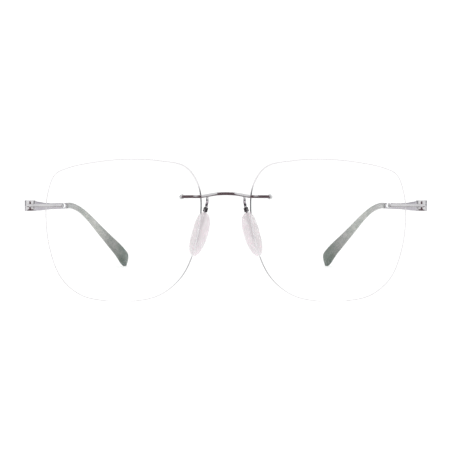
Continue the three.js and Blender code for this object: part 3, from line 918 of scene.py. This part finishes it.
def tip_mesh():
    """The sleeve: slim over the temple's end, swelling behind the bend, rounded at its end."""
    length = TEMPLE.length
    lip_curl = np.radians([0, 30, 60, 90])
    rise = SLEEVE_START + TIP_LIP * (1 - np.cos(lip_curl))
    middle = np.linspace(SLEEVE_START + 0.8, length - TIP_ROUND - 0.8, 90)
    dome = length - TIP_ROUND * (1 - np.sin(np.radians(np.linspace(0, 84, 12))))
    distances = np.concatenate([rise, middle, dome])
    swell = np.clip((distances - TIP_SWELL_START) / (length - 4 - TIP_SWELL_START), 0, 1)
    into = np.clip((distances - length + TIP_ROUND) / TIP_ROUND, 0, 0.995)
    closing = np.sqrt(1 - into**2)
    lip = np.zeros(len(distances))
    lip[: len(rise)] = TIP_LIP * (1 - np.sin(lip_curl))
    full_widths = TIP_START_THICKNESS + (TIP_THICKNESS - TIP_START_THICKNESS) * swell
    widths = full_widths * (0.15 + 0.85 * closing)
    full_heights = TEMPLE_HEIGHT + 0.05 + (TIP_HEIGHT - TEMPLE_HEIGHT) * swell**1.4
    heights = full_heights * closing
    sections = section_points(widths - 2 * lip, heights - 2 * lip, TIP_CORNER, per_corner=11)
    sections[..., 1] -= (full_heights * (1 - closing) * TIP_DROOP / 2)[:, None]
    ups = facing(HINGE_AXIS)(distances)
    body = loft(TEMPLE.at(distances), TEMPLE.heading(distances), ups, sections)
    end = TEMPLE.at(np.array([length]))[0]
    ground = block((end[0] - 30, end[1] - 30, -10), (end[0] + 30, end[1] + 30, 0))
    return without(body, ground)


place_pair(temple_mesh(), "temple", "temple", "silver")
place_pair(tip_mesh(), "temple_tip", "temple", "tip")


# -------------------------------------------------------------------------- nose pads


def arm_mesh():
    """The twisted strip from under the bridge back and down to the pad's box."""
    above = [PAD_PLACE @ Vector((0, 0, PAD_BOX_TOP + gap)) for gap in (0.6, GAP)]
    line = Line([*ARM_LINE, *above])

    def twist(distances):
        turn = np.interp(distances / line.length, (0, 1), ARM_TWIST)
        return np.stack([np.cos(turn), np.sin(turn), np.zeros(len(turn))], axis=-1)

    return strip(line, twist, always(ARM_THICKNESS), always(ARM_WIDTH), 0.16, end_round=0.1, step=0.12)


def box_mesh():
    """The small clevis that holds the pad's eye between two cheeks."""
    half_w, half_d = PAD_BOX_WIDTH / 2, PAD_BOX_DEPTH / 2
    body = block((-half_w, -half_d, -PAD_BOX_BOTTOM), (half_w, half_d, PAD_BOX_TOP))
    half_eye = PAD_EYE_LENGTH / 2 + GAP
    mouth = block((-1, -half_eye, -2), (1, half_eye, PAD_EYE_RADIUS + GAP))
    pin_hole = moved(rod(PAD_PIN_RADIUS + 0.03, -2, 2, 32), along_axis((0, 0, 0), (0, 1, 0)))
    return moved(without(eased(without(body, mouth), 0.1, 3), pin_hole), PAD_PLACE)


def pin_mesh():
    pin = eased(rod(PAD_PIN_RADIUS, -PAD_PIN_REACH, PAD_PIN_REACH, 32), 0.08, 3)
    return moved(pin, PAD_PLACE @ along_axis((0, 0, 0), (0, 1, 0)))


def core_mesh():
    """The core: an eye in the box and a tongue down the middle of the pad."""
    across = along_axis((0, 0, 0), (0, 1, 0))
    half = PAD_EYE_LENGTH / 2
    eye = moved(rod(PAD_EYE_RADIUS, -half, half, 40), across)
    tongue_line = Line([(0, 0, -0.2), (0, 0, -1.4), (0, 0, -4), (0, 0, -PAD_TOP - TONGUE_LENGTH)])
    widths = [(0, PAD_EYE_LENGTH * 0.8), (1.4, PAD_EYE_LENGTH * 0.8), (2.6, TONGUE_WIDTH), (12, 1.1)]
    tongue = strip(
        tongue_line, facing((0, 1, 0)), always(TONGUE_THICKNESS), lambda d: smoothly(widths, d),
        0.2, end_round=0.2, step=0.3,
    )
    bore = moved(rod(PAD_PIN_RADIUS + GAP, -2, 2, 32), across)
    return moved(without(joined(eye, tongue), bore), PAD_PLACE)


def edge_of_pad(down, widest, bluntness_above, bluntness_below):
    """How far one edge of the pad stands out, from 0 to 1, at each height from 0 down to 1."""
    above = np.clip(1 - down / widest, 0, 1)
    below = np.clip((down - widest) / (1 - widest), 0, 1)
    return (1 - above**bluntness_above) ** (1 / bluntness_above) * (1 - below**bluntness_below) ** (
        1 / bluntness_below
    )


def pad_mesh(rings=56, around=48):
    """A cushion with a straighter outer edge, domed outside and flatter to the nose."""
    t = np.linspace(0, math.pi, rings)
    down = (1 - np.cos(t)) / 2
    inner, outer = (edge_of_pad(down, *shape)[:, None] for shape in (PAD_INNER, PAD_OUTER))
    angle = np.arange(around) * 2 * math.pi / around
    bulge = np.sign(np.sin(angle)) * np.abs(np.sin(angle)) ** 0.85
    depth = bulge * np.where(bulge > 0, 0.6, 0.4) * PAD_THICKNESS
    reach = np.where(np.cos(angle) < 0, inner * PAD_INNER_REACH, outer) * PAD_WIDTH / 2
    vertices = np.empty((rings, around, 3))
    vertices[..., 0] = depth * ((inner + outer) / 2) ** 0.8
    vertices[..., 1] = np.cos(angle) * reach - PAD_FORWARD
    vertices[..., 2] = -PAD_TOP - PAD_LENGTH * down[:, None]
    faces = tube_faces(rings - 2, around)
    top, bottom = (rings - 2) * around, (rings - 2) * around + 1
    last = (rings - 3) * around
    for j in range(around):
        k = (j + 1) % around
        faces.append((k, j, top))
        faces.append((last + j, last + k, bottom))
    poles = [vertices[0, 0] * (0, 0, 1), vertices[-1, 0] * (0, 0, 1)]
    poles = [pole - np.array((0, PAD_FORWARD, 0)) for pole in poles]
    mesh = mesh_of(np.vstack([vertices[1:-1].reshape(-1, 3), poles]), faces)
    return moved(modified(mesh, "SUBSURF", levels=1, render_levels=1), PAD_PLACE)


place_pair(arm_mesh(), "pad_arm", "front", "silver")
place_pair(box_mesh(), "pad_box", "front", "dark")
place_pair(pin_mesh(), "pad_pin", "front", "dark")
place_pair(core_mesh(), "pad_core", "pad", "core")
for cushion in place_pair(pad_mesh(), "nose_pad", "pad", "pad"):
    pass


# ----------------------------------------------------------------------------- studio

CAMERA_BACK = 0.7
CAMERA_HEIGHT = 0.0773
CAMERA_ASIDE = -0.0003
CAMERA_PITCH = math.radians(4.1)
CAMERA_LENS = 160.9
WHITE_LEVEL = 1.15
FLOOR_SIZE = (6, 6)
FLOOR_COLOUR = (0.5, 0.5, 0.5)
FLOOR_GLOW = 0.55
FLOOR_GAP = 0.0002
FLAG_WIDTH = 0.54
FLAG_HEIGHT = 0.28
FLAG_SUNK = 0.01
FLAG_BACK = 0.75
FLAG_NEAR = 0.05
FLAG_COLOUR = (0.15, 0.102, 0.112)
FLOOR_CARD = (3.0, 1.5)
REAR_CARD = (1.6, 0.8)
REAR_CARD_BACK = 0.9
SIDE_CARD = (1.1, 0.5)
SIDE_CARD_OUT = 1.1
SIDE_CARD_BACK = 0.5
PALE_GREY = (0.78, 0.775, 0.785)
GREY = (0.55, 0.545, 0.56)
DEEP_GREY = (0.36, 0.36, 0.37)


def camera():
    data = bpy.data.cameras.new("camera")
    data.lens = CAMERA_LENS
    data.clip_start = 0.01
    data.clip_end = 50
    eye = bpy.data.objects.new("camera", data)
    eye.location = (CAMERA_ASIDE, MIDDLE.y * MM - CAMERA_BACK, CAMERA_HEIGHT)
    eye.rotation_euler = (math.pi / 2 - CAMERA_PITCH, 0, 0)
    bpy.context.scene.collection.objects.link(eye)
    bpy.context.scene.camera = eye


def plain(name, colour, glow=0.0):
    look = Look(name, Base_Color=(*colour, 1), Roughness=0.9, Specular_IOR_Level=0.0)
    look.shader.inputs["Emission Color"].default_value = (1, 1, 1, 1)
    look.shader.inputs["Emission Strength"].default_value = glow
    return look.material


def sheet_of(name, width, depth, place, material):
    """A flat stage piece, width along X and depth along Y before it is placed."""
    x, y = width / 2, depth / 2
    mesh = mesh_of([(-x, -y, 0), (x, -y, 0), (x, y, 0), (-x, y, 0)], [(0, 1, 2, 3)])
    mesh.materials.append(material)
    panel = bpy.data.objects.new(name, mesh)
    panel.matrix_world = place
    bpy.context.scene.collection.objects.link(panel)
    return panel


def surroundings():
    world = bpy.data.worlds.new("world")
    world.use_nodes = True
    world.node_tree.nodes["Background"].inputs["Color"].default_value = (1, 1, 1, 1)
    world.node_tree.nodes["Background"].inputs["Strength"].default_value = WHITE_LEVEL
    bpy.context.scene.world = world


def card(name, size, place, colour):
    """A card that nothing shows but a polished surface that mirrors it."""
    panel = sheet_of(name, *size, place, plain(name, colour))
    panel.visible_camera = False
    panel.visible_transmission = False
    panel.visible_shadow = False
    panel.visible_diffuse = False


def studio():
    """White surroundings, a pale floor, and the cards."""
    surroundings()
    front = MIDDLE.y * MM
    upright = Matrix.Rotation(math.radians(90), 4, "X")
    sideways = Matrix.Rotation(math.radians(90), 4, "Z") @ upright
    floor = plain("floor", FLOOR_COLOUR, FLOOR_GLOW)
    sheet_of("floor", *FLOOR_SIZE, Matrix.Translation((0, 0, -FLOOR_GAP)), floor)
    behind_camera = Matrix.Translation((0, front - FLAG_BACK, FLAG_HEIGHT / 2 - FLAG_SUNK))
    card("upright_flag", (FLAG_WIDTH, FLAG_HEIGHT), behind_camera @ upright, FLAG_COLOUR)
    before_glasses = Matrix.Translation((0, front - (FLAG_BACK + FLAG_NEAR) / 2, FLOOR_GAP))
    card("floor_flag", (FLAG_WIDTH, FLAG_BACK - FLAG_NEAR), before_glasses, FLAG_COLOUR)
    under_glasses = Matrix.Translation((0, front + FLOOR_CARD[1] / 2, -FLOOR_GAP / 2))
    card("floor_card", FLOOR_CARD, under_glasses, PALE_GREY)
    behind_glasses = Matrix.Translation((0, REAR_CARD_BACK, REAR_CARD[1] / 2))
    card("rear_card", REAR_CARD, behind_glasses @ upright, GREY)
    for name, out in (("left_card", SIDE_CARD_OUT), ("right_card", -SIDE_CARD_OUT)):
        beside_glasses = Matrix.Translation((out, SIDE_CARD_BACK, SIDE_CARD[1] / 2))
        card(name, SIDE_CARD, beside_glasses @ sideways, DEEP_GREY)
    bpy.context.scene.view_settings.view_transform = "Standard"


camera()
studio()
